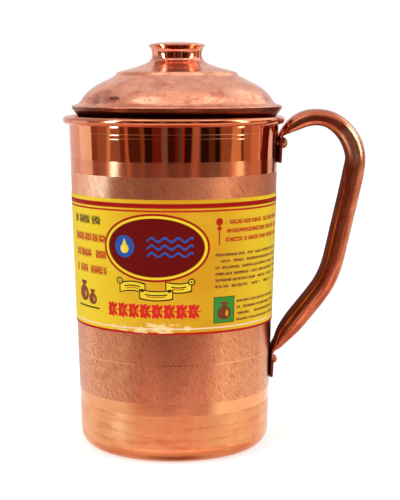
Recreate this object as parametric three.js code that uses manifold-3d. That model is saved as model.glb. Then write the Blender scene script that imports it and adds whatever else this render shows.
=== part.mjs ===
import * as THREE from 'three';
import { mergeVertices } from 'three/addons/utils/BufferGeometryUtils.js';
import Module from 'manifold-3d';

// Copper water jug with a lift-off lid, millimetres, +Z up.
// Origin: centre of the flat base, on the axis of the jug. The handle points along +X.

const SEGMENTS = 60;
const SHEET = 0.7;

// jug body
const RIM_RADIUS = 57.3;
const BEAD_RADIUS = 2.05;
const BEAD_Z = 169.95;
const BEAD_SLIT = 0.5;
const WALL_TOP_RADIUS = 54.1;
const WALL_TOP_Z = 166.0;
const WALL_LOW_RADIUS = 49.35;
const CORNER_RADIUS = 8.0;

// folded seat for the lid: two layers of wall pressed inward, closed to a fine line outside
const SEAT_Z = 163.9;
const SEAT_FOLD = 0.25;
const SEAT_LAYERS = 1.75;
const SEAT_INNER_RADIUS = 50.2;
const SEAT_SHOULDER = 0.55;

// printed paper wrap
const LABEL_LOW_Z = 66.4;
const LABEL_HIGH_Z = 132.9;
const LABEL_THICKNESS = 0.2;
const LABEL_GAP = 0.1;
const LABEL_SEAM_FACETS = 2;

// lid, pushed over to the handle side of the mouth
const LID_SHIFT = 1.6;
const LID_GAP = 0.3;
const SKIRT_RADIUS = 51.0;
const SKIRT_TOP_Z = 171.5;
const CONE_RADIUS = 54.15;
const CONE_TOP_Z = 175.85;
const SOLDER_GAP = 0.15;
const LIP_RADIUS = 54.45;
const LIP_Z = 176.55;
const CAP_RADIUS = 14.45;
const CAP_INNER_RADIUS = 14.0;
const CAP_Z = 207.85;
const CAP_CROWN = 1.8;

// handle: tube with a butt seam on its inner face, pinched flat at both ends
const HANDLE_WIDTH = 19.0;
const HANDLE_SHEET = 0.8;
const HANDLE_SEAM = 0.8;
const TAB_DEPTH = 1.9;
const TAB_WIDTH = 20.0;
const TAB_GAP = 0.12;
const UPPER_TAB_LOW_Z = 147.9;
const LOWER_TAB_LOW_Z = 34.6;

// rivets
const RIVET_SEGMENTS = 16;
const SHANK_RADIUS = 1.5;
const RIVET_PLAY = 0.15;
const UPPER_RIVET_Z = 158.0;
const UPPER_RIVET_SPREAD = 4.8;
const LOWER_RIVET_Z = 43.6;

const COPPER = { color: 0xb8694a, roughness: 0.3, metalness: 1.0 };
const COPPER_DARK = { color: 0x9c5138, roughness: 0.35, metalness: 1.0 };
const PAPER = { color: 0xe7a63a, roughness: 0.6, metalness: 0.0 };

const { Manifold, Mesh: ManifoldMesh } = await start();

async function start() {
  const wasm = await Module();
  wasm.setup();
  return wasm;
}

function named(name, geometry, look) {
  const mesh = new THREE.Mesh(geometry, new THREE.MeshStandardMaterial({ ...look, name }));
  mesh.name = name;
  return mesh;
}

function weld(geometry) {
  const bare = new THREE.BufferGeometry();
  bare.setAttribute('position', geometry.getAttribute('position').clone());
  if (geometry.index) bare.setIndex(geometry.index.clone());
  return mergeVertices(bare, 1e-4);
}

function toManifold(geometry) {
  const welded = weld(geometry);
  return new Manifold(new ManifoldMesh({
    numProp: 3,
    vertProperties: new Float32Array(welded.getAttribute('position').array),
    triVerts: new Uint32Array(welded.index.array),
  }));
}

function fromManifold(solid) {
  const mesh = solid.getMesh();
  const geometry = new THREE.BufferGeometry();
  geometry.setAttribute('position', new THREE.BufferAttribute(mesh.vertProperties, 3));
  geometry.setIndex(new THREE.BufferAttribute(mesh.triVerts, 1));
  return geometry;
}

function cut(geometry, cutters) {
  let solid = toManifold(geometry);
  for (const cutter of cutters) solid = solid.subtract(toManifold(cutter));
  return fromManifold(solid);
}

// A closed loop of [radius, z] turned about Z. Facets start on +X.
function turned(loop, segments = SEGMENTS) {
  const points = loop.map(([r, z]) => new THREE.Vector2(r, z));
  if (loop[0][0] > 0) points.push(points[0].clone());
  const geometry = new THREE.LatheGeometry(points, segments, Math.PI / 2);
  geometry.rotateX(Math.PI / 2);
  return outward(weld(geometry));
}

function outward(geometry) {
  const p = geometry.getAttribute('position');
  const index = geometry.index.array;
  const [a, b, c] = [new THREE.Vector3(), new THREE.Vector3(), new THREE.Vector3()];
  let volume = 0;
  const keep = [];
  for (let i = 0; i < index.length; i += 3) {
    const [i0, i1, i2] = [index[i], index[i + 1], index[i + 2]];
    if (i0 === i1 || i1 === i2 || i2 === i0) continue;
    a.fromBufferAttribute(p, i0);
    b.fromBufferAttribute(p, i1);
    c.fromBufferAttribute(p, i2);
    volume += a.dot(b.clone().cross(c)) / 6;
    keep.push(i0, i1, i2);
  }
  if (volume < 0) {
    for (let i = 0; i < keep.length; i += 3) [keep[i], keep[i + 1]] = [keep[i + 1], keep[i]];
  }
  geometry.setIndex(keep);
  return geometry;
}

function wallRadius(z) {
  const share = (z - CORNER_RADIUS) / (WALL_TOP_Z - CORNER_RADIUS);
  return WALL_LOW_RADIUS + (WALL_TOP_RADIUS - WALL_LOW_RADIUS) * share;
}

function arc(cr, cz, radius, fromDeg, toDeg, steps) {
  const out = [];
  for (let i = 0; i <= steps; i++) {
    const a = THREE.MathUtils.degToRad(fromDeg + (toDeg - fromDeg) * i / steps);
    out.push([cr + radius * Math.cos(a), cz + radius * Math.sin(a)]);
  }
  return out;
}

function bodyLoop() {
  const beadR = RIM_RADIUS - BEAD_RADIUS;
  const cornerR = WALL_LOW_RADIUS - CORNER_RADIUS;
  const half = SEAT_LAYERS / 2;
  const inside = (z) => wallRadius(z) - SHEET;
  const foldR = SEAT_INNER_RADIUS + SHEET;
  return [
    [0, 0],
    ...arc(cornerR, CORNER_RADIUS, CORNER_RADIUS, -90, 0, 5),
    [wallRadius(SEAT_Z - SEAT_SHOULDER - SEAT_FOLD), SEAT_Z - SEAT_SHOULDER - SEAT_FOLD],
    [wallRadius(SEAT_Z) - SEAT_SHOULDER, SEAT_Z - SEAT_FOLD],
    [foldR, SEAT_Z - SEAT_FOLD],
    [foldR, SEAT_Z + SEAT_FOLD],
    [wallRadius(SEAT_Z) - SEAT_SHOULDER, SEAT_Z + SEAT_FOLD],
    [wallRadius(SEAT_Z + SEAT_SHOULDER + SEAT_FOLD), SEAT_Z + SEAT_SHOULDER + SEAT_FOLD],
    [wallRadius(BEAD_Z - BEAD_RADIUS), BEAD_Z - BEAD_RADIUS - BEAD_SLIT],
    [beadR - BEAD_RADIUS + SHEET, BEAD_Z],
    ...arc(beadR, BEAD_Z, BEAD_RADIUS - SHEET, 150, -80, 5),
    ...arc(beadR, BEAD_Z, BEAD_RADIUS, -80, 180, 8),
    [inside(BEAD_Z - BEAD_RADIUS), BEAD_Z - BEAD_RADIUS],
    [inside(SEAT_Z + half), SEAT_Z + half],
    [SEAT_INNER_RADIUS, SEAT_Z + half],
    [SEAT_INNER_RADIUS, SEAT_Z - half],
    [inside(SEAT_Z - half), SEAT_Z - half - SEAT_FOLD],
    ...arc(cornerR, CORNER_RADIUS, CORNER_RADIUS - SHEET, 0, -90, 4),
    [0, SHEET],
  ];
}

function rivetHoles(clearance) {
  const place = ([y, z]) => {
    const hole = new THREE.CylinderGeometry(clearance, clearance, 24, RIVET_SEGMENTS);
    hole.rotateZ(Math.PI / 2);
    return hole.translate(wallRadius(z), y, z);
  };
  return rivetSpots().map(place);
}

function rivetSpots() {
  return [
    [-UPPER_RIVET_SPREAD, UPPER_RIVET_Z],
    [UPPER_RIVET_SPREAD, UPPER_RIVET_Z],
    [0, LOWER_RIVET_Z],
  ];
}

function jugBody() {
  const shell = turned(bodyLoop());
  return named('jug_body', cut(shell, rivetHoles(SHANK_RADIUS + RIVET_PLAY)), COPPER);
}

// The wrap follows the body facet by facet and stops short of itself under the handle.
function label() {
  const inner = (z) => wallRadius(z) + LABEL_GAP;
  const loop = [
    [inner(LABEL_LOW_Z), LABEL_LOW_Z],
    [inner(LABEL_LOW_Z) + LABEL_THICKNESS, LABEL_LOW_Z],
    [inner(LABEL_HIGH_Z) + LABEL_THICKNESS, LABEL_HIGH_Z],
    [inner(LABEL_HIGH_Z), LABEL_HIGH_Z],
  ];
  const facet = 2 * Math.PI / SEGMENTS;
  const positions = [];
  const index = [];
  const last = SEGMENTS - LABEL_SEAM_FACETS;
  for (let i = 0; i <= last; i++) {
    const a = facet * (i + LABEL_SEAM_FACETS / 2);
    for (const [r, z] of loop) positions.push(r * Math.cos(a), r * Math.sin(a), z);
  }
  for (let i = 0; i < last; i++) {
    for (let j = 0; j < 4; j++) {
      const [p, q] = [i * 4 + j, i * 4 + (j + 1) % 4];
      index.push(p, q, q + 4, p, q + 4, p + 4);
    }
  }
  const end = last * 4;
  index.push(0, 2, 1, 0, 3, 2, end, end + 1, end + 2, end, end + 2, end + 3);
  return named('label', outward(indexed(positions, index)), PAPER);
}

function indexed(positions, index) {
  const geometry = new THREE.BufferGeometry();
  geometry.setAttribute('position', new THREE.Float32BufferAttribute(positions, 3));
  geometry.setIndex(index);
  return geometry;
}

// Outer surface of the lid from the top of the neck down to the lip.
const LID_OUTER = [
  [13.75, 207.05], [13.35, 206.1], [12.98, 204.9], [12.8, 203.4], [12.95, 202], [13.6, 200.5],
  [15.4, 199.05],
  [20, 197.1], [25.1, 195.65], [29, 194.65], [30.7, 194.1], [32.1, 192.3], [36.4, 190.1],
  [40.2, 188.2], [44.7, 185.3], [47.7, 182.3], [49.4, 179.9], [50.8, 178.3], [52.7, 177.6],
];
const LID_INNER = [
  [50.2, 177.8], [48.8, 179.5], [44.2, 184.8], [39.85, 187.6], [31.3, 192.05], [28.6, 194],
  [19.8, 196.4], [15, 198.35], [12.9, 200], [12.25, 201.9], [12.1, 203.4], [12.25, 204.8],
  [12.65, 205.9], [13.05, 207.05],
];

function lidDome() {
  const lip = [
    [LIP_RADIUS - 0.2, LIP_Z + SHEET],
    [LIP_RADIUS, LIP_Z + SHEET / 2],
    [LIP_RADIUS - 0.2, LIP_Z],
    [LIP_RADIUS - 1.6, LIP_Z + 0.25],
  ];
  const geometry = turned([...LID_OUTER, ...lip, ...LID_INNER]);
  return named('lid_dome', geometry.translate(LID_SHIFT, 0, 0), COPPER);
}

function lidPlug() {
  const low = SEAT_Z + SEAT_LAYERS / 2 + LID_GAP;
  const slope = (CONE_RADIUS - SKIRT_RADIUS) / (CONE_TOP_Z - SKIRT_TOP_Z);
  const across = SHEET * Math.hypot(1, slope);
  const top = LIP_Z + 0.05 - SOLDER_GAP;
  const loop = [
    [SKIRT_RADIUS, low],
    [SKIRT_RADIUS, SKIRT_TOP_Z],
    [CONE_RADIUS, CONE_TOP_Z],
    [CONE_RADIUS, top],
    [CONE_RADIUS - across + slope * (top - CONE_TOP_Z), top],
    [SKIRT_RADIUS - SHEET, SKIRT_TOP_Z + (across - SHEET) / slope],
    [SKIRT_RADIUS - SHEET, low],
  ];
  return named('lid_plug', turned(loop).translate(LID_SHIFT, 0, 0), COPPER);
}

function knobCap() {
  const crown = CAP_Z + CAP_CROWN;
  const loop = [
    [0, crown],
    [7.2, crown - 0.3],
    [12.2, crown - 0.95],
    [14.0, CAP_Z + 0.35],
    [CAP_RADIUS, CAP_Z - 0.2],
    [CAP_RADIUS - 0.25, CAP_Z - 0.9],
    [CAP_INNER_RADIUS, CAP_Z - 1.1],
    [CAP_INNER_RADIUS, CAP_Z - 0.5],
    [0, CAP_Z - 0.5],
  ];
  return named('knob_cap', turned(loop, 40).translate(LID_SHIFT, 0, 0), COPPER_DARK);
}

// Middle line of the handle in the plane of symmetry, from the upper tab round to the lower one:
// x, z, depth of the tube there, width of the tube there.
function handleStations() {
  const tab = (z) => wallRadius(z) + TAB_GAP + TAB_DEPTH / 2;
  const w = HANDLE_WIDTH;
  return [
    [tab(UPPER_TAB_LOW_Z), UPPER_TAB_LOW_Z, TAB_DEPTH, TAB_WIDTH - 5],
    [tab(149.4), 149.4, TAB_DEPTH, TAB_WIDTH],
    [tab(156), 156, TAB_DEPTH, TAB_WIDTH],
    [tab(161.4), 161.4, TAB_DEPTH, TAB_WIDTH],
    [58.1, 164.8, 4.6, w + 0.4],
    [62.6, 168.0, 7.2, w],
    [68.4, 170.6, 8.2, w],
    [74.4, 171.2, 8.3, w],
    [80.6, 169.9, 8.8, w],
    [86.0, 166.6, 9.2, w],
    [90.4, 161.8, 9.6, w],
    [93.3, 156.0, 9.8, w],
    [94.5, 149.8, 9.6, w],
    [93.6, 142.6, 10.2, w],
    [91.6, 132.6, 10.2, w],
    [89.3, 122.2, 10.2, w],
    [86.9, 111.4, 10.2, w],
    [84.9, 102.2, 10.2, w],
    [82.7, 93.3, 10.2, w],
    [79.3, 85.0, 10.2, w],
    [74.2, 77.4, 10.2, w],
    [68.5, 70.2, 10.2, w],
    [62.8, 63.1, 9.9, w],
    [58.2, 57.4, 8.0, w + 0.2],
    [54.8, 52.5, 5.0, w + 0.4],
    [tab(48.8), 48.8, TAB_DEPTH, TAB_WIDTH],
    [tab(44), 44, TAB_DEPTH, TAB_WIDTH],
    [tab(37), 37, TAB_DEPTH, TAB_WIDTH - 3],
    [tab(LOWER_TAB_LOW_Z), LOWER_TAB_LOW_Z, TAB_DEPTH, TAB_WIDTH - 10],
  ];
}

// Half of the tube section, seam side first, in shares of half width and half depth.
const SECTION = [[0.72, -1], [1, -0.7], [1, 0.05], [0.84, 0.6], [0.44, 0.92]];

function sectionLoop(width, depth) {
  const ring = (w, d) => {
    const right = [[HANDLE_SEAM / 2, -d], ...SECTION.map(([a, b]) => [a * w, b * d])];
    const left = right.map(([a, b]) => [-a, b]).reverse();
    return [...right, [0, d], ...left];
  };
  const outer = ring(width / 2, depth / 2);
  const inner = ring(width / 2 - HANDLE_SHEET, Math.max(depth / 2 - HANDLE_SHEET, 0.1));
  return [...outer, ...inner.reverse()];
}

function handle() {
  const stations = handleStations();
  const positions = [];
  const index = [];
  stations.forEach(([x, z, depth, width], i) => {
    const [xa, za] = stations[Math.max(i - 1, 0)];
    const [xb, zb] = stations[Math.min(i + 1, stations.length - 1)];
    const length = Math.hypot(xb - xa, zb - za);
    const out = [-(zb - za) / length, (xb - xa) / length];
    for (const [y, d] of sectionLoop(width, depth)) {
      positions.push(x + out[0] * d, y, z + out[1] * d);
    }
  });
  const n = sectionLoop(1, 1).length;
  for (let i = 0; i < stations.length - 1; i++) {
    for (let j = 0; j < n; j++) {
      const [p, q] = [i * n + j, i * n + (j + 1) % n];
      index.push(p, q, q + n, p, q + n, p + n);
    }
  }
  const closing = (base, flip) => {
    for (let j = 0; j < n / 2 - 1; j++) {
      const [a, b, c, d] = [base + j, base + j + 1, base + n - 2 - j, base + n - 1 - j];
      index.push(...(flip ? [a, b, c, a, c, d] : [a, c, b, a, d, c]));
    }
  };
  closing(0, false);
  closing((stations.length - 1) * n, true);
  const tube = outward(indexed(positions, index));
  return named('handle', cut(tube, rivetHoles(SHANK_RADIUS + RIVET_PLAY)), COPPER_DARK);
}

// Rivet on the X axis: domed head outside the tab, flat formed head inside the jug.
function rivet(name, [y, z], headRadius, headHeight) {
  const wall = wallRadius(z);
  const seat = wall + TAB_GAP + TAB_DEPTH + 0.12;
  const inside = Math.hypot(wall - SHEET, 0) - Math.abs(y) * 0.14 - 0.22;
  const loop = [
    [0, inside - 1.0],
    [2.2, inside - 1.0],
    [2.9, inside - 0.5],
    [2.9, inside],
    [SHANK_RADIUS, inside],
    [SHANK_RADIUS, seat],
    [headRadius, seat],
    [headRadius * 0.96, seat + headHeight * 0.35],
    [headRadius * 0.72, seat + headHeight * 0.78],
    [headRadius * 0.36, seat + headHeight * 0.96],
    [0, seat + headHeight],
  ];
  const geometry = turned(loop, RIVET_SEGMENTS);
  geometry.rotateY(Math.PI / 2);
  return named(name, geometry.translate(0, y, z), COPPER_DARK);
}

const jug = new THREE.Group();
jug.name = 'copper_water_jug';
const [front, rear, low] = rivetSpots();
jug.add(
  jugBody(),
  label(),
  handle(),
  rivet('upper_rivet_front', front, 2.9, 2.7),
  rivet('upper_rivet_rear', rear, 2.9, 2.7),
  rivet('lower_rivet', low, 2.3, 1.9),
  lidDome(),
  lidPlug(),
  knobCap(),
);

export default jug;
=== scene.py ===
import math

import bmesh
import bpy
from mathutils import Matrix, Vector

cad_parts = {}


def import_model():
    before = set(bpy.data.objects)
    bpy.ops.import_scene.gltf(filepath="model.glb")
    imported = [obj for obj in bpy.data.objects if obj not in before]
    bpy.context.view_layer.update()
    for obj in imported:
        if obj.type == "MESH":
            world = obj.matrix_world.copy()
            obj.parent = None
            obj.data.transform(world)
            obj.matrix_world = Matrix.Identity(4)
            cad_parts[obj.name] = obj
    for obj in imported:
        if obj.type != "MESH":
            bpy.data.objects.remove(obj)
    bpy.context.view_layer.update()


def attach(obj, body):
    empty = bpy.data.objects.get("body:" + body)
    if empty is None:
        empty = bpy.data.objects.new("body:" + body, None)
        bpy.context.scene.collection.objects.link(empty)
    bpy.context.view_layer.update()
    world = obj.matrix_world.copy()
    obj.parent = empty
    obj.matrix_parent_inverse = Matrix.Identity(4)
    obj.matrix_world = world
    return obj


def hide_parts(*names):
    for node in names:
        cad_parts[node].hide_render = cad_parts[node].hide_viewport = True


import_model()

MM = 0.001
TAU = 2 * math.pi

# ---------------------------------------------------------------- sizes of the object, millimetres
SHEET = 0.7
RIM_RADIUS = 57.3
BEAD_RADIUS = 2.05
BEAD_Z = 169.95
WALL_TOP_RADIUS = 54.1
WALL_TOP_Z = 166.0
WALL_LOW_RADIUS = 49.35
CORNER_RADIUS = 8.0
SEAT_Z = 163.9
SEAT_INNER_RADIUS = 50.2
FINE_LINE_Z = 161.9
MIRROR_LOW_Z = 150.9
FINE_LOW_Z = 143.6
LABEL_HIGH_Z = 132.9
LABEL_LOW_Z = 66.4
THIN_LINE_Z = 50.8
BAND_HIGH_Z = 30.9
BAND_LOW_Z = 24.8
LABEL_GAP = 0.1
LABEL_THICKNESS = 0.2
# the open seam of the wrap, behind the handle
LABEL_SEAM_DEGREES = 6
# the smoother brushing low on the wall ends behind the wrap
RUBBED_HIGH_Z = LABEL_LOW_Z + 20
LID_SHIFT = 1.6
# facets in a full turn
SEGMENTS = 240
CAP_SEGMENTS = 160
RIVET_SEGMENTS = 48

LID_OUTER = [
    (13.75, 207.05), (13.35, 206.1), (12.98, 204.9), (12.8, 203.4), (12.95, 202), (13.6, 200.5),
    (15.4, 199.05), (20, 197.1), (25.1, 195.65), (29, 194.65), (30.7, 194.1), (32.1, 192.3), (36.4, 190.1),
    (40.2, 188.2), (44.7, 185.3), (47.7, 182.3), (49.4, 179.9), (50.8, 178.3), (52.7, 177.6),
]
LID_INNER = [
    (50.2, 177.8), (48.8, 179.5), (44.2, 184.8), (39.85, 187.6), (31.3, 192.05), (28.6, 194), (19.8, 196.4),
    (15, 198.35), (12.9, 200), (12.25, 201.9), (12.1, 203.4), (12.25, 204.8), (12.65, 205.9), (13.05, 207.05),
]
# the two points of LID_OUTER where the raised centre steps down
LID_STEP = (10, 11)
LID_LIP = [(53.85, 177.3), (54.3, 177.1), (54.45, 176.85), (54.3, 176.6), (53.85, 176.6), (52.85, 176.8)]
PLUG_LOW_Z = 165.1
PLUG_TOP_Z = 176.45
PLUG_LOOP = [
    (51.0, PLUG_LOW_Z), (51.0, 168.0), (51.0, 171.2), (51.12, 171.75), (52.6, 173.8), (54.15, 175.85),
    (54.15, PLUG_TOP_Z), (53.75, PLUG_TOP_Z), (51.9, 173.9), (50.45, 172.0), (50.3, 171.4), (50.3, 168.0),
    (50.3, PLUG_LOW_Z),
]
CAP_CROWN = [(0.0, 209.65), (4.0, 209.55), (7.2, 209.35), (10.6, 209.05), (12.8, 208.7), (13.9, 208.25)]
CAP_UNDER = [(14.2, 207.05), (14.05, 206.8), (14.0, 207.35), (0.0, 207.35)]


def wall_radius(z):
    share = (z - CORNER_RADIUS) / (WALL_TOP_Z - CORNER_RADIUS)
    return WALL_LOW_RADIUS + (WALL_TOP_RADIUS - WALL_LOW_RADIUS) * share


# ---------------------------------------------------------------- mesh helpers
def arc(cr, cz, radius, start, end, steps):
    out = []
    for i in range(steps + 1):
        a = math.radians(start + (end - start) * i / steps)
        out.append((cr + radius * math.cos(a), cz + radius * math.sin(a)))
    return out


def smooth_path(points, steps):
    """Catmull-Rom through points of any dimension, steps per span."""
    out = []
    n = len(points)
    for i in range(n - 1):
        p0, p1 = points[max(i - 1, 0)], points[i]
        p2, p3 = points[i + 1], points[min(i + 2, n - 1)]
        for s in range(steps):
            t = s / steps
            out.append(tuple(
                0.5 * (2 * b + (c - a) * t + (2 * a - 5 * b + 4 * c - d) * t * t
                       + (3 * b - 3 * c + d - a) * t ** 3)
                for a, b, c, d in zip(p0, p1, p2, p3)))
    out.append(tuple(points[-1]))
    return out


def new_object(name, verts, faces, uvs, sharp):
    mesh = bpy.data.meshes.new(name)
    mesh.from_pydata([Vector(v) * MM for v in verts], [], faces)
    layer = mesh.uv_layers.new(name="UVMap")
    for poly, corner_uvs in zip(mesh.polygons, uvs):
        for loop, uv in zip(poly.loop_indices, corner_uvs):
            layer.data[loop].uv = uv
    mesh.validate()
    bm = bmesh.new()
    bm.from_mesh(mesh)
    bmesh.ops.recalc_face_normals(bm, faces=bm.faces)
    bm.to_mesh(mesh)
    bm.free()
    mesh.shade_smooth()
    mesh.set_sharp_from_angle(angle=math.radians(sharp))
    obj = bpy.data.objects.new(name, mesh)
    bpy.context.scene.collection.objects.link(obj)
    return obj


def turned(name, loop, segments, shift=0.0, sharp=40, start=0.0, facets=None):
    """A closed (radius, z) loop turned about the axis; UVs are arc length and height in millimetres."""
    facets = segments if facets is None else facets
    full = facets == segments
    columns = facets if full else facets + 1
    on_axis = [r < 1e-6 for r, _ in loop]
    verts, index = [], {}
    for j in range(columns):
        a = start + TAU * j / segments
        for i, (r, z) in enumerate(loop):
            if on_axis[i] and j:
                index[j, i] = index[0, i]
                continue
            index[j, i] = len(verts)
            verts.append((r * math.cos(a) + shift, r * math.sin(a), z))
    faces, uvs = [], []
    ref = max(r for r, _ in loop)
    n = len(loop)
    closed = not on_axis[0]
    for j in range(facets):
        k = (j + 1) % columns
        for i in range(n if closed else n - 1):
            m = (i + 1) % n
            quad = [index[j, i], index[k, i], index[k, m], index[j, m]]
            u0, u1 = (start + TAU * j / segments) * ref, (start + TAU * (j + 1) / segments) * ref
            quv = [(u0, loop[i][1]), (u1, loop[i][1]), (u1, loop[m][1]), (u0, loop[m][1])]
            face, fuv = [], []
            for v, uv in zip(quad, quv):
                if v not in face:
                    face.append(v)
                    fuv.append(uv)
            if len(face) > 2:
                faces.append(face)
                uvs.append(fuv)
    if not full:
        for j in (0, columns - 1):
            face = [index[j, i] for i in range(n)]
            faces.append(face)
            uvs.append([(0.0, z) for _, z in loop])
    return new_object(name, verts, faces, uvs, sharp)


# ---------------------------------------------------------------- node helper
class Nodes:
    """Builds shader nodes from short expressions."""

    def __init__(self, tree):
        self.tree = tree
        tree.nodes.clear()

    def add(self, kind, inputs=None, **props):
        node = self.tree.nodes.new(kind)
        for key, value in props.items():
            setattr(node, key, value)
        for key, value in (inputs or {}).items():
            self.feed(node.inputs[key], value)
        return node

    def feed(self, socket, value):
        if isinstance(value, bpy.types.NodeSocket):
            self.tree.links.new(value, socket)
        else:
            socket.default_value = value

    def math(self, op, *args):
        node = self.add("ShaderNodeMath", operation=op)
        for socket, value in zip(node.inputs, args):
            self.feed(socket, value)
        return node.outputs[0]

    def total(self, *args):
        out = args[0]
        for value in args[1:]:
            out = self.math("ADD", out, value)
        return out

    def mix(self, factor, a, b, blend="MIX"):
        node = self.add("ShaderNodeMix", data_type="RGBA", blend_type=blend)
        self.feed(node.inputs[0], factor)
        for socket, value in ((node.inputs[6], a), (node.inputs[7], b)):
            self.feed(socket, (*value, 1.0) if isinstance(value, tuple) and len(value) == 3 else value)
        return node.outputs[2]

    def span(self, value, low, high, out_low=0.0, out_high=1.0, smooth=False):
        node = self.add("ShaderNodeMapRange", clamp=True)
        if smooth:
            node.interpolation_type = "SMOOTHSTEP"
        for key, v in zip(range(5), (value, low, high, out_low, out_high)):
            self.feed(node.inputs[key], v)
        return node.outputs[0]

    def between(self, value, low, high, soft=0.15):
        up = self.span(value, low - soft, low + soft)
        down = self.span(value, high - soft, high + soft, 1.0, 0.0)
        return self.math("MULTIPLY", up, down)

    def combine(self, x, y, z):
        node = self.add("ShaderNodeCombineXYZ")
        for socket, value in zip(node.inputs, (x, y, z)):
            self.feed(socket, value)
        return node.outputs[0]

    def split(self, vector):
        node = self.add("ShaderNodeSeparateXYZ")
        self.feed(node.inputs[0], vector)
        return node.outputs

    def noise(self, vector, scale, detail=2.0, rough=0.5, distortion=0.0):
        node = self.add("ShaderNodeTexNoise")
        self.feed(node.inputs["Vector"], vector)
        for key, value in (("Scale", scale), ("Detail", detail), ("Roughness", rough),
                           ("Distortion", distortion)):
            node.inputs[key].default_value = value
        return node.outputs["Fac"]

    def ramp(self, value, stops):
        node = self.add("ShaderNodeValToRGB")
        elements = node.color_ramp.elements
        while len(elements) > 1:
            elements.remove(elements[-1])
        for i, (pos, colour) in enumerate(stops):
            e = elements[0] if i == 0 else elements.new(pos)
            e.position = pos
            e.color = (*colour, 1.0)
        self.feed(node.inputs[0], value)
        return node.outputs[0]


def material(name):
    mat = bpy.data.materials.new(name)
    mat.use_nodes = True
    return mat, Nodes(mat.node_tree)


def coat(n, colour, rough, metallic=1.0, normal=None, **fixed):
    """Principled surface; fixed values go straight onto their sockets."""
    shader = n.add("ShaderNodeBsdfPrincipled")
    n.feed(shader.inputs["Base Color"], (*colour, 1.0) if isinstance(colour, tuple) else colour)
    n.feed(shader.inputs["Roughness"], rough)
    shader.inputs["Metallic"].default_value = metallic
    if normal is not None:
        n.feed(shader.inputs["Normal"], normal)
    for key, value in fixed.items():
        shader.inputs[key].default_value = value
    out = n.add("ShaderNodeOutputMaterial")
    n.tree.links.new(shader.outputs[0], out.inputs[0])
    return shader


def bump(n, height, strength, distance, below=None):
    node = n.add("ShaderNodeBump")
    node.inputs["Strength"].default_value = strength
    node.inputs["Distance"].default_value = distance
    n.feed(node.inputs["Height"], height)
    if below is not None:
        n.feed(node.inputs["Normal"], below)
    return node.outputs[0]


# ---------------------------------------------------------------- copper
COPPER = (0.84, 0.26, 0.125)
COPPER_RED = (0.70, 0.155, 0.07)
COPPER_ORANGE = (0.80, 0.185, 0.06)
COPPER_PALE = (0.88, 0.36, 0.20)
COPPER_DARK = (0.54, 0.115, 0.05)
# slant of the brush strokes in radians
STROKE_LEAN = 0.62
# rotation of the anisotropic highlight, in full turns
ACROSS_RINGS = 0.25
BRUSH_TURN = 0.08


def object_mm(n):
    coords = n.add("ShaderNodeTexCoord").outputs["Object"]
    node = n.add("ShaderNodeVectorMath", operation="SCALE")
    n.feed(node.inputs[0], coords)
    node.inputs["Scale"].default_value = 1000.0
    return node.outputs[0]


def stretched(n, vector, sx, sy, sz):
    node = n.add("ShaderNodeVectorMath", operation="MULTIPLY")
    n.feed(node.inputs[0], vector)
    node.inputs[1].default_value = (sx, sy, sz)
    return node.outputs[0]


def copper_finish(name, colour, rough, turned_grain=0.0, aniso=0.0, rotation=0.0, wobble=1.0, smudges=0.0,
                  relief=0.25, strokes=None):
    """One band of the wall; rough is (low, high). The grain runs round it, or slants where strokes gives
    the grains per millimetre across and along a stroke and the contrast."""
    mat, n = material(name)
    p = object_mm(n)
    blotch = n.noise(stretched(n, p, 0.07, 0.07, 0.09), 1.0, 4.0, 0.6)
    rings = n.noise(stretched(n, p, 0.02, 0.02, 3.2), 1.0, 3.0, 0.7)
    base = n.mix(n.span(blotch, 0.4, 0.75, 0.0, 0.35), colour, COPPER_RED)
    height = n.math("MULTIPLY", rings, turned_grain)
    grain = rings
    if strokes:
        u, v, _ = n.split(n.add("ShaderNodeUVMap", uv_map="UVMap").outputs[0])
        cosine = math.cos(STROKE_LEAN)
        sine = math.sin(STROKE_LEAN)
        across = n.total(n.math("MULTIPLY", u, cosine), n.math("MULTIPLY", v, sine))
        along = n.math("SUBTRACT", n.math("MULTIPLY", v, cosine), n.math("MULTIPLY", u, sine))
        per_mm_across, per_mm_along, contrast = strokes
        grain = n.noise(n.combine(n.math("MULTIPLY", across, per_mm_across),
                                  n.math("MULTIPLY", along, per_mm_along), 0.0), 1.0, 3.0, 0.65)
        broad = n.noise(n.combine(n.math("MULTIPLY", across, 0.4), n.math("MULTIPLY", along, 0.05), 3.0),
                        1.0, 2.0, 0.5)
        base = n.mix(n.span(grain, 0.42, 0.62, 0.0, contrast), n.mix(0.5, colour, COPPER_PALE), COPPER_DARK)
        height = n.total(grain, n.math("MULTIPLY", broad, 0.6))
    if smudges:
        smear = n.noise(stretched(n, p, 0.05, 0.05, 0.34), 1.0, 7.0, 0.72, 0.3)
        fibre = n.noise(stretched(n, p, 0.8, 0.8, 0.10), 1.0, 2.0, 0.6)
        smear = n.total(smear, n.math("MULTIPLY", n.math("SUBTRACT", fibre, 0.5), 0.22))
        base = n.mix(n.span(smear, 0.46, 0.68, 0.0, smudges, smooth=True), base, COPPER_ORANGE)
    normal = bump(n, height, relief, 0.0001)
    wander = n.noise(stretched(n, p, 0.05, 0.05, 0.012), 1.0, 1.0)
    normal = bump(n, wander, 0.5 * wobble, 0.0012, normal)
    shader = coat(n, base, n.span(grain, 0.3, 0.7, *rough), normal=normal,
                  **{"Anisotropic": aniso, "Anisotropic Rotation": rotation})
    if aniso:
        tangent = n.add("ShaderNodeTangent", direction_type="RADIAL", axis="Z")
        n.feed(shader.inputs["Tangent"], tangent.outputs[0])
    return mat


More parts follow.
